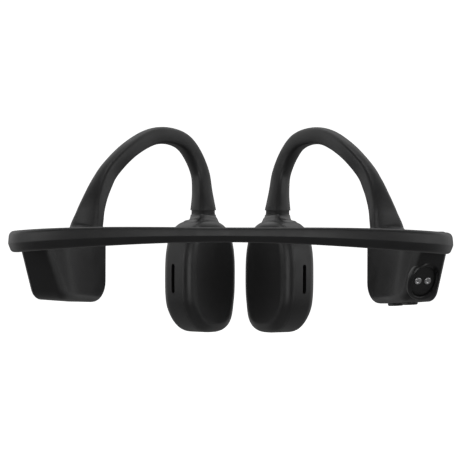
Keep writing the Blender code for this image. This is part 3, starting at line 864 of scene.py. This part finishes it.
@dataclass
class RearPod:
    """A rear pod: a deep shell that faces the neck and a lid on its outer side."""

    origin: tuple[float, float, float] = (58.65, -50.8, -27.6)
    toe_in: float = 24.0
    half_thick: float = 5.8
    length: float = 33.5
    lean: float = 7.0
    parting: float = 4.4
    wall: float = 1.3
    inner_round: float = 2.2
    lid_round: float = 1.6
    scoop: tuple[float, float] = (1.0, 2.6)
    scoop_reach: float = 4.2
    edge_rise: float = 14.9
    low_corner: float = -20.9
    band_seat: tuple[float, float] = (2.9, -3.35)
    volume_up_y: float = 23.7
    volume_down_y: float = 13.9

    @property
    def place(self) -> Matrix:
        """The pod's frame: x outwards, y forwards and z up from the top of its rear end."""
        return Matrix.Translation(self.origin) @ Matrix.Rotation(math.radians(self.toe_in), 4, "Z")

    def outline(self, inset: float) -> Outline:
        """The pod seen from the side, with its walls moved in.

        Args:
            inset: How far its walls are moved in.

        Returns:
            The outline.
        """
        corners = [
            (0.0, 0.0, 0.8), (0.0, -6.0, 1.6), (self.lean, self.low_corner, 5.0), (self.length, -22.6, 6.4),
            (self.length, 0.0, 1.2),
        ]
        return rounded(moved_in(corners, inset), 7)

    def band_end(self) -> tuple[list[Vector], Vector]:
        """Where the neckband's last stretch runs, and its heading into the pod.

        Returns:
            The points and the heading.
        """
        seat = self.place @ Vector((self.band_seat[0], -HAIR, self.band_seat[1]))
        line = [Vector((62.15, -63.0, -30.95)), Vector((62.1, -56.0, -30.95)), seat]
        return line, self.place.to_3x3() @ Vector((0, 1, 0))

    def rear_frame(self) -> Matrix:
        """A frame on the leaning rear face: x outwards, y up the face and z out of it.

        Returns:
            The frame.
        """
        up = Vector((0, -self.lean, self.edge_rise)).normalized()
        frame = Matrix((Vector((1, 0, 0)), up, Vector((1, 0, 0)).cross(up))).transposed().to_4x4()
        frame.translation = Vector((-0.3, self.lean * 0.6, -14.94))
        return frame

    def under_frame(self, y: float) -> Matrix:
        """A frame on the sloping underside: x outwards, y forwards and z up into the pod.

        Args:
            y: How far forward it stands.

        Returns:
            The frame.
        """
        slope = math.atan2(1.7, self.length - self.lean)
        frame = Matrix.Rotation(-slope, 4, "X")
        frame.translation = Vector((0, y, self.low_corner - (y - self.lean) * math.tan(slope)))
        return frame

    def build(self, side: Side) -> None:
        """The shell and its lid, with the right side's recess and buttons.

        Args:
            side: Which side it is for.
        """
        skin = cup(self.outline, -self.half_thick, self.parting, self.inner_round, self.wall)
        self.soften(skin)
        shell = BENCH.piece(f"{side.label}_rear_shell", skin, self.place, side, SHELL)
        if side is Side.RIGHT:
            self.cut_openings(shell, side)
            self.add_contacts(side)
            self.add_buttons(side)
        BENCH.fit(shell, side.arm, f"{side.label}_pod_shell")
        lid = BENCH.piece(
            f"{side.label}_rear_lid",
            slab(self.outline, self.parting + HAIR, self.half_thick, 0.05, self.lid_round),
            self.place, side, SHELL,
        )
        BENCH.fit(lid, side.arm, f"{side.label}_pod_cover")

    def soften(self, skin: bmesh.types.BMesh) -> None:
        """Bends the inner face back towards the rear edge, more so higher up.

        Args:
            skin: The shell's mesh, drawn for the right side.
        """
        across = Vector((0, self.edge_rise, self.lean)).normalized()
        for k in range(9):
            bmesh.ops.bisect_plane(
                skin, geom=[*skin.verts, *skin.edges, *skin.faces], plane_no=across,
                plane_co=Vector((0, 1.2 + 1.5 * k, 0)),
            )
        for vert in skin.verts:
            x, y, z = vert.co
            from_edge = y - self.lean * max(0.0, -z - 6.0) / self.edge_rise
            depth = part_way(self.scoop, min(1.0, max(0.0, (z + 20.0) / 16.0)))
            near = math.exp(-(from_edge / self.scoop_reach) ** 2)
            vert.co.x += depth * near * max(0.0, -x / self.half_thick) ** 2

    def cut_openings(self, shell: bpy.types.Object, side: Side) -> None:
        """The charging recess and the two button holes.

        Args:
            shell: The shell to cut.
            side: Which side it is for.
        """
        to_face = self.place @ self.rear_frame() @ FACE_UP
        oval = ContactRecess().outline
        cutters = [BENCH.piece("recess_cutter", slab(oval, -2.4, 3.0, TRIM, TRIM, 1), to_face, side, SHELL)]
        for name, y in (("up", self.volume_up_y), ("down", self.volume_down_y)):
            hole = slab(VolumeButton().hole, -4.0, 2.2, TRIM, TRIM, 1)
            place = self.place @ self.under_frame(y) @ STAND_UP
            cutters.append(BENCH.piece(f"{name}_cutter", hole, place, side, SHELL))
        BENCH.carve(shell, *cutters)

    def add_contacts(self, side: Side) -> None:
        """The charging contacts in their recess."""
        ContactRecess().build(self.place @ self.rear_frame() @ FACE_UP, side)

    def add_buttons(self, side: Side) -> None:
        """The two volume buttons underneath."""
        for name, y in (("volume_up", self.volume_up_y), ("volume_down", self.volume_down_y)):
            VolumeButton().build(name, self.place @ self.under_frame(y) @ STAND_UP, side)


# These turn a shape drawn with x out of its face to stand on a frame whose z is out of the face.
FACE_UP = Matrix(((0, 1, 0, 0), (0, 0, 1, 0), (1, 0, 0, 0), (0, 0, 0, 1)))
STAND_UP = Matrix(((0, 0, 1, 0), (0, 1, 0, 0), (1, 0, 0, 0), (0, 0, 0, 1)))


@dataclass
class ContactRecess:
    """The oval recess for the magnetic plug: its raised lip, its floor and two contacts."""

    half_wide: float = 3.9
    half_tall: float = 4.9
    power: float = 2.2
    depth: float = 0.6
    pin_apart: float = 3.24
    pin_up: float = -0.05
    pin_profile: Outline = field(default_factory=lambda: [
        (-2.2, 0), (-2.2, 0.6), (-1.4, 0.62), (-1.4, 1.16), (-0.62, 1.16), (-0.48, 1.1), (-0.38, 0.96),
        (-0.35, 0.78), (-0.4, 0.6), (-0.52, 0.46), (-0.55, 0.3), (-0.5, 0.12), (-0.5, 0),
    ])

    def outline(self, inset: float) -> Outline:
        """The recess's edge."""
        return superellipse(self.half_wide - inset, self.half_tall - inset, self.power, 56)

    def build(self, place: Matrix, side: Side) -> None:
        """Lip, floor and contacts.

        Args:
            place: Its own frame in the part's frame.
            side: Which side it is for.
        """
        lip = through([
            level(-1.4, self.outline(0.0)), level(0.1, self.outline(-0.02)), level(0.5, self.outline(-0.12)),
            level(0.68, self.outline(-0.3)), level(0.66, self.outline(-0.5)), level(0.5, self.outline(-0.72)),
            level(0.1, self.outline(-1.15)), level(-0.3, self.outline(-1.3)), level(-1.4, self.outline(-1.1)),
        ]).joined()
        for vert in lip.verts:
            if vert.co.x > 0:
                vert.co.x *= max(0.0, 0.4 - 0.72 * vert.co.y / self.half_wide)
        BENCH.fit(BENCH.piece("charge_lip", lip, place, side, GLOSS), side.arm)
        floor = slab(lambda inset: self.outline(inset + 0.04), -1.25, -self.depth, 0.05, 0.12, 3)
        # The recess floor's darker black is painted shade.
        tray = BENCH.piece("charge_floor", floor, place, side, PAINTED_SHADE_BLACK)
        bore = [(-3, 0), (-3, 1.22), (1, 1.22), (1, 0)]
        holes = [
            BENCH.piece("pin_cutter", turned(bore), place @ shift, side, PAD) for shift in self.pin_places()
        ]
        BENCH.carve(tray, *holes)
        BENCH.fit(tray, side.arm, "charge_insert")
        for name, shift in zip(("charge_pin_inner", "charge_pin_outer"), self.pin_places()):
            cap = BENCH.piece(f"{name}_cap", turned(self.pin_profile), place @ shift, side, CONTACT)
            BENCH.fit(cap, side.arm, name)

    def pin_places(self) -> list[Matrix]:
        """Where the two contacts stand in the recess's frame."""
        return [Matrix.Translation((0, x, self.pin_up)) for x in (-self.pin_apart / 2, self.pin_apart / 2)]


@dataclass
class VolumeButton:
    """A silicone button with round ends and a flange that holds it in."""

    half_wide: float = 1.8
    half_long: float = 3.1
    proud: float = 0.8
    gap: float = 0.2

    def grown(self, grow: float) -> Shape:
        """The button's outline for each inset, grown by so much."""
        return lambda inset: capsule(self.half_long + grow - inset, self.half_wide + grow - inset, 8)

    @property
    def hole(self) -> Shape:
        """The hole that it slides in."""
        return self.grown(self.gap)

    def build(self, name: str, place: Matrix, side: Side) -> None:
        """The button, riding on its own body.

        Args:
            name: The button's body.
            place: Its own frame in the part's frame.
            side: Which side it is for.
        """
        button, flange = self.grown(0.0), self.grown(0.6)
        rows = rim_rows(button, -self.proud, 0.5, -1, 5)
        rows += [level(1.65, button(0.0)), level(1.65, flange(0.0))]
        rows += [level(2.35, flange(0.0)), level(2.35, flange(0.5))]
        cap = BENCH.piece(f"{name}_cap", through(rows).capped(), place, side, SILICONE)
        BENCH.fit(cap, name, f"{name}_button")


# Ear hooks


@dataclass
class EarHook:
    """The silicone hook over the ear, from its foot on the rear pod to the speaker's neck."""

    rings: int = 120
    corner: float = 0.3
    crown: tuple[float, float] = (0.15, 0.11)
    foot: tuple[float, float, float] = (-0.35, 29.6, 0.02)
    stations: list[tuple[float, ...]] = field(default_factory=lambda: [
        (46.2, -23.8, -26.2, 24, 2.6, 5.2), (45.6, -23.75, -23.9, 24, 2.5, 4.7),
        (44.9, -23.5, -21.1, 24.5, 2.65, 4.1), (43.75, -22.5, -17.5, 26, 2.9, 3.4),
        (42.15, -20.6, -13.4, 28, 3.05, 2.8), (39.7, -17.9, -8.7, 32, 2.85, 2.35),
        (34.6, -13.2, -2.7, 36, 2.65, 2.35),
        (28.8, -5.5, 1.7, 39, 2.7, 2.35), (23.8, 0.5, 2.8, 40, 2.75, 2.35),
        (19.0, 6.6, 1.3, 41, 2.75, 2.4), (15.8, 10.6, -2.7, 42, 2.8, 2.45),
        (13.3, 12.5, -8.9, 44, 2.8, 2.55), (12.5, 11.8, -15.2, 45, 3.05, 2.85),
        (12.1, 10.6, -21.0, 46, 3.85, 3.45),
    ])

    @property
    def section(self) -> Outline:
        """The hook's section."""
        return soft_box(self.corner, self.crown)

    def frames(self, stations: Sequence[Sequence[float]], rings: int) -> list[tuple[Matrix, float, float]]:
        """Section frames along stations, level at both ends, each with its half sizes.

        Args:
            stations: Centre, facing and half sizes at each station.
            rings: How many rings it takes, less one.

        Returns:
            The frames, with their half sizes.
        """
        fine = [smooth_along(stations, k / rings) for k in range(rings + 1)]
        frames = []
        for k, (x, y, z, facing, half_along, half_across) in enumerate(fine):
            heading = Vector(fine[min(k + 1, rings)][:3]) - Vector(fine[max(k - 1, 0)][:3])
            if k in (0, rings):
                heading = Vector((0, 0, math.copysign(1, heading.z)))
            across = Vector((math.cos(math.radians(facing)), math.sin(math.radians(facing)), 0))
            frames.append((section_frame(Vector((x, y, z)), heading, across), half_along, half_across))
        return frames

    def limb(self, stations: Sequence[Sequence[float]], rings: int) -> bmesh.types.BMesh:
        """A closed limb with the hook's section, through stations.

        Args:
            stations: Centre, facing and half sizes at each station.
            rings: How many rings it takes, less one.

        Returns:
            The mesh.
        """
        section = self.section
        rows = [on_frame(frame, section, a, b) for frame, a, b in self.frames(stations, rings)]
        return through(rows).capped()

    def build(self, side: Side, pod: RearPod) -> None:
        """The hook's sleeve, whose foot flares at its lowest half millimetre to cover the pod's top.

        Args:
            side: Which side it is for.
            pod: The rear pod that it stands on.
        """
        base = pod.place @ Vector(self.foot)
        low = pod.place @ Vector((self.foot[0], self.foot[1], self.foot[2] + 0.5))
        stations = [(*base, pod.toe_in, 4.6, 5.75), (*low, pod.toe_in, 3.4, 5.55), *self.stations]
        skin = self.limb(stations, self.rings)
        sleeve = BENCH.piece(f"{side.label}_ear_hook", skin, Matrix(), side, SILICONE)
        BENCH.fit(sleeve, side.arm, f"{side.label}_hook_sleeve")


# Speaker pods


@dataclass
class SpeakerPod:
    """A speaker pod: a shell with a neck and a sound slot, closed by the soft contact pad."""

    origin: tuple[float, float, float] = (12.8, 6.5, -42.4)
    toe_in: float = 40.0
    half_long: float = 11.6
    half_tall: float = 18.0
    half_thick: float = 6.4
    power: float = 2.8
    round_outer: float = 3.2
    pad_thick: float = 3.2
    pad_round: float = 3.1
    wall: float = 1.2
    slot_tall: float = 9.4
    slot_wide: float = 1.35
    slot_at: tuple[float, float] = (1.0, -0.6)
    collar: list[tuple[float, ...]] = field(default_factory=lambda: [
        (12.1, 10.5, -21.02, 46, 3.5, 3.1), (12.09, 10.43, -21.75, 46, 3.5, 3.1),
        (12.07, 10.33, -22.48, 46, 3.55, 3.15),
    ])
    neck: list[tuple[float, ...]] = field(default_factory=lambda: [
        (12.07, 10.33, -22.5, 46, 3.75, 3.35), (12.05, 10.15, -23.4, 46, 3.95, 3.5),
        (12.0, 9.9, -24.4, 45, 4.5, 4.0), (12.05, 9.6, -25.5, 45, 5.35, 4.6),
        (12.3, 9.2, -26.8, 44, 6.4, 5.1), (12.6, 8.6, -28.5, 42, 8.0, 5.3),
    ])
    lean_from: float = -8.0
    lean_over: float = 9.5
    lean: float = 1.25

    @property
    def place(self) -> Matrix:
        """The pod's frame: x outwards, y forwards and z up from its middle."""
        return Matrix.Translation(self.origin) @ Matrix.Rotation(math.radians(self.toe_in), 4, "Z")

    def outline(self, inset: float) -> Outline:
        """The pod seen square to its contact pad.

        Args:
            inset: How far its walls are moved in.

        Returns:
            The outline.
        """
        outline = []
        for y, z in superellipse(self.half_long - inset, self.half_tall - inset, self.power, 88):
            share = min(1.0, max(0.0, (self.lean_from - z) / self.lean_over))
            outline.append((y + self.lean * eased(share), z))
        return outline

    def build(self, side: Side, hook: EarHook) -> None:
        """Shell, neck, collar and pad, and the left side's action button.

        Args:
            side: Which side it is for.
            hook: The ear hook, whose section the neck shares.
        """
        rim = self.pad_thick - self.half_thick
        skin = cup(self.outline, self.half_thick, rim, self.round_outer, self.wall, 8)
        shell = BENCH.piece(f"{side.label}_speaker_housing", skin, self.place, side, SHELL)
        slot = slab(self._slot_shape, -14.0, -8.8, TRIM, TRIM, 1)
        turn = Matrix(((0, 1, 0, self.slot_at[0]), (1, 0, 0, 0), (0, 0, 1, self.slot_at[1]), (0, 0, 0, 1)))
        cutters = [BENCH.piece("slot_cutter", slot, self.place @ turn, side, SHELL)]
        port = turned([(4.5, 0), (4.5, 0.5), (8.0, 0.5), (8.0, 0)], 20)
        cutters.append(
            BENCH.piece("port_cutter", port, self.place @ Matrix.Translation((0, 4.5, -12.0)), side, SHELL)
        )
        if side is Side.LEFT:
            cutters.append(ActionButton().cutter(self.place, side))
            ActionButton().build(self.place, side)
        BENCH.carve(shell, *cutters)
        BENCH.fit(shell, side.arm, f"{side.label}_speaker_shell")
        # The collar's darker black is painted shade where the hook meets the neck.
        limbs = (("neck", self.neck, 56, GLOSS), ("collar", self.collar, 12, PAINTED_SHADE_BLACK))
        for name, stations, rings, finish in limbs:
            skin = hook.limb(stations, rings)
            BENCH.fit(BENCH.piece(f"{side.label}_speaker_{name}", skin, Matrix(), side, finish), side.arm)
        pad = slab(self.outline, -self.half_thick, rim - HAIR, self.pad_round, 0.05, 8)
        pad = BENCH.piece(f"{side.label}_contact_pad", pad, self.place, side, PAD)
        BENCH.fit(pad, side.arm, f"{side.label}_speaker_pad")

    def _slot_shape(self, inset: float) -> Outline:
        """The sound slot's outline."""
        return capsule(self.slot_wide / 2 - inset, self.slot_tall / 2 - inset, 4)


@dataclass
class ActionButton:
    """The oval button in the left speaker's outer face."""

    half_wide: float = 4.6
    half_tall: float = 6.6
    power: float = 2.4
    face: float = 6.4
    proud: float = 0.35
    gap: float = 0.2

    def outline(self, inset: float) -> Outline:
        """The button's edge."""
        return superellipse(self.half_wide - inset, self.half_tall - inset, self.power, 48)

    def cutter(self, place: Matrix, side: Side) -> bpy.types.Object:
        """The shape of the hole that it slides in."""
        hole = slab(lambda inset: self.outline(inset - self.gap), 3.0, 9.0, TRIM, TRIM, 1)
        return BENCH.piece("action_cutter", hole, place, side, SHELL)

    def build(self, place: Matrix, side: Side) -> None:
        """The button, dished a little for the fingertip, with the flange that holds it in.

        Args:
            place: Its own frame in the part's frame.
            side: Which side it is for.
        """
        top = self.face + self.proud
        dish = ((0.25, 3.6), (0.18, 2.4), (0.0, 1.2))
        rows = [level(top - sunk, self.outline(inset)) for sunk, inset in dish]
        rows += rim_rows(self.outline, top, 0.35, 1, 5)[1:]
        low = self.face - 1.9
        rows += [level(low + 0.55, self.outline(0.0)), level(low + 0.55, self.outline(-0.7))]
        rows += [level(low, self.outline(-0.7)), level(low, self.outline(0.5))]
        button = BENCH.piece("action_cap", through(rows).capped(), place, side, SILICONE)
        BENCH.fit(button, "action", "action_button")


# Studio


@dataclass
class Studio:
    """The pale sweep, the soft lights and the camera."""

    distance: float = 0.6
    azimuth: float = 2.45
    aim_off: float = 0.082
    roll: float = 0.22
    looked_at: tuple[float, float, float] = (0.0, -0.0911, -0.0274)
    sensor: float = 36.0
    frame_wide: float = 460.0
    focal: float = 2160.0
    floor_drop: float = 0.22
    behind: tuple[tuple[float, float], ...] = ((-1, 0.25), (-0.7, 0.13), (-0.35, 0.08), (0.3, 0.09), (1, 0.1))
    in_front: tuple[tuple[float, float], ...] = (
        (-1, 0.15), (-0.6, 0.35), (-0.2, 0.75), (0.0, 0.95), (0.4, 1.2), (0.75, 1.2), (1, 0.15),
    )
    boxes: tuple[tuple[str, tuple[float, float, float], float, float, float], ...] = (
        ("top_box", (0.0, -0.15, 0.75), 0.5, 0.4, 2.0),
        ("left_box", (-0.77, -0.37, 0.1), 0.62, 0.45, 1.4),
        ("right_box", (0.77, -0.37, 0.1), 0.7, 0.45, 1.5),
        ("rear_box", (0.0, -1.4, 0.04), 1.0, 0.6, 2.4),
    )

    def build(self) -> None:
        """Everything round the object."""
        self.add_floor()
        self.add_world()
        self.add_lights()
        self.add_camera()

    def add_floor(self) -> None:
        """A pale floor that curves up far behind the object, lit evenly for the camera alone."""
        low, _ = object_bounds()
        mesh = bmesh.new()
        bmesh.ops.create_grid(mesh, x_segments=2, y_segments=40, size=1.0)
        for vert in mesh.verts:
            run = vert.co.y * 5.0
            over = max(0.0, run - 2.5)
            vert.co = Vector((vert.co.x * 6.0, run - over * 0.6, low.z - self.floor_drop + 0.7 * over * over))
        data = bpy.data.meshes.new("studio_floor")
        mesh.to_mesh(data)
        mesh.free()
        data.shade_smooth()
        floor = bpy.data.objects.new("studio_floor", data)
        bpy.context.scene.collection.objects.link(floor)
        paper = bpy.data.materials.new("white_paper")
        paper.use_nodes = True
        shader = paper.node_tree.nodes["Principled BSDF"]
        shader.inputs["Base Color"].default_value = (0.9, 0.9, 0.9, 1)
        shader.inputs["Roughness"].default_value = 0.9
        shader.inputs["Emission Color"].default_value = (1, 1, 1, 1)
        shader.inputs["Emission Strength"].default_value = 1.0
        data.materials.append(paper)
        floor.visible_diffuse = floor.visible_glossy = floor.visible_shadow = False
        floor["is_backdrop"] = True

    def add_world(self) -> None:
        """A white room to the camera, and to the object a dim one that is lighter in front."""
        world = bpy.data.worlds.new("studio")
        bpy.context.scene.world = world
        world.use_nodes = True
        tree = world.node_tree
        tree.nodes.clear()
        new, link = tree.nodes.new, tree.links.new
        ray, mix, out = new("ShaderNodeLightPath"), new("ShaderNodeMixShader"), new("ShaderNodeOutputWorld")
        seen, lit = new("ShaderNodeBackground"), new("ShaderNodeBackground")
        place, split = new("ShaderNodeTexCoord"), new("ShaderNodeSeparateXYZ")
        link(place.outputs["Generated"], split.inputs["Vector"])
        height = self._spread(tree, split.outputs["Z"], -1.0, 1.0)
        ahead = new("ShaderNodeMath")
        ahead.operation = "MULTIPLY"
        link(self._spread(tree, split.outputs["Y"], -0.1, 0.35), ahead.inputs[0])
        link(self._spread(tree, split.outputs["Y"], 0.96, 0.66, 0.1), ahead.inputs[1])
        room = new("ShaderNodeMix")
        room.data_type = "RGBA"
        link(ahead.outputs["Value"], room.inputs["Factor"])
        for socket, stops in ((room.inputs[6], self.behind), (room.inputs[7], self.in_front)):
            ramp = new("ShaderNodeValToRGB")
            elements = ramp.color_ramp.elements
            while len(elements) < len(stops):
                elements.new(0.5)
            for element, (z, value) in zip(elements, stops):
                element.position, element.color = (z + 1) / 2, (value, value, value, 1)
            link(height, ramp.inputs["Fac"])
            link(ramp.outputs["Color"], socket)
        link(room.outputs[2], lit.inputs["Color"])
        lit.inputs["Strength"].default_value = 1.0
        seen.inputs["Color"].default_value = (1, 1, 1, 1)
        seen.inputs["Strength"].default_value = 1.05
        link(ray.outputs["Is Camera Ray"], mix.inputs["Fac"])
        link(lit.outputs["Background"], mix.inputs[1])
        link(seen.outputs["Background"], mix.inputs[2])
        link(mix.outputs["Shader"], out.inputs["Surface"])

    def _spread(
        self, tree: bpy.types.NodeTree, value: bpy.types.NodeSocket, start: float, stop: float,
        least: float = 0.0,
    ) -> bpy.types.NodeSocket:
        """A value eased from least at start to 1 at stop.

        Args:
            tree: The world's nodes.
            value: The value to spread.
            start: Where it is least.
            stop: Where it is 1.
            least: What it is at start.

        Returns:
            The eased value.
        """
        spread = tree.nodes.new("ShaderNodeMapRange")
        spread.interpolation_type = "LINEAR" if (start, stop) == (-1.0, 1.0) else "SMOOTHSTEP"
        spread.inputs["From Min"].default_value = start
        spread.inputs["From Max"].default_value = stop
        spread.inputs["To Min"].default_value = least
        tree.links.new(value, spread.inputs["Value"])
        return spread.outputs["Result"]

    def add_lights(self) -> None:
        """Soft boxes above, behind and to each side, each with its own brightness."""
        middle = Vector((0, -0.04, -0.03))
        for name, spot, wide, tall, brightness in self.boxes:
            light = bpy.data.lights.new(name, "AREA")
            light.shape = "RECTANGLE"
            light.size, light.size_y = wide, tall
            light.energy = brightness * math.pi * wide * tall
            lamp = bpy.data.objects.new(name, light)
            bpy.context.scene.collection.objects.link(lamp)
            lamp.location = spot
            lamp.rotation_euler = (middle - Vector(spot)).to_track_quat("-Z", "Y").to_euler()

    def add_camera(self) -> None:
        """The camera behind the neckband, level with it and a little to the wearer's right."""
        turn = math.radians(self.azimuth)
        lens = bpy.data.cameras.new("camera")
        lens.sensor_width = self.sensor
        lens.lens = self.sensor * self.focal / self.frame_wide
        lens.clip_end = 50.0
        camera = bpy.data.objects.new("camera", lens)
        bpy.context.scene.collection.objects.link(camera)
        place = Matrix.Rotation(turn - math.radians(self.aim_off), 4, "Z")
        place @= Matrix.Rotation(math.pi / 2, 4, "X") @ Matrix.Rotation(math.radians(self.roll), 4, "Z")
        back = Vector((math.sin(turn), -math.cos(turn), 0))
        place.translation = Vector(self.looked_at) + back * self.distance
        camera.matrix_world = place
        bpy.context.scene.camera = camera
        bpy.context.scene.view_settings.view_transform = "Standard"


@dataclass
class Headphones:
    """The whole object, sub-assembly by sub-assembly."""

    band: Neckband = field(default_factory=Neckband)
    pod: RearPod = field(default_factory=RearPod)
    hook: EarHook = field(default_factory=EarHook)
    speaker: SpeakerPod = field(default_factory=SpeakerPod)

    def dress_packed(self, nodes: dict[str, bpy.types.Object], record: dict) -> None:
        """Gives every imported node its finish.

        Args:
            nodes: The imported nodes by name.
            record: The part's record.
        """
        by_slot = {finish.slot: finish for finish in FINISHES}
        for row in record["subparts"]:
            materials = nodes[row["node"]].data.materials
            materials.clear()
            materials.append(by_slot[row["material_slot"]].material())

    def build(self) -> None:
        """Both sides."""
        for side in Side:
            end, heading = self.pod.band_end()
            self.band.build(side, end, heading)
            self.pod.build(side)
            self.hook.build(side, self.pod)
            self.speaker.build(side, self.hook)


def main() -> None:
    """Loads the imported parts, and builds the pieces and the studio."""
    logging.basicConfig(level=logging.INFO, format="%(name)s: %(message)s")
    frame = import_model()
    headphones = Headphones()
    headphones.dress_packed(frame["nodes"], frame["record"])
    headphones.build()
    Studio().build()


if __name__ == "__main__":
    main()
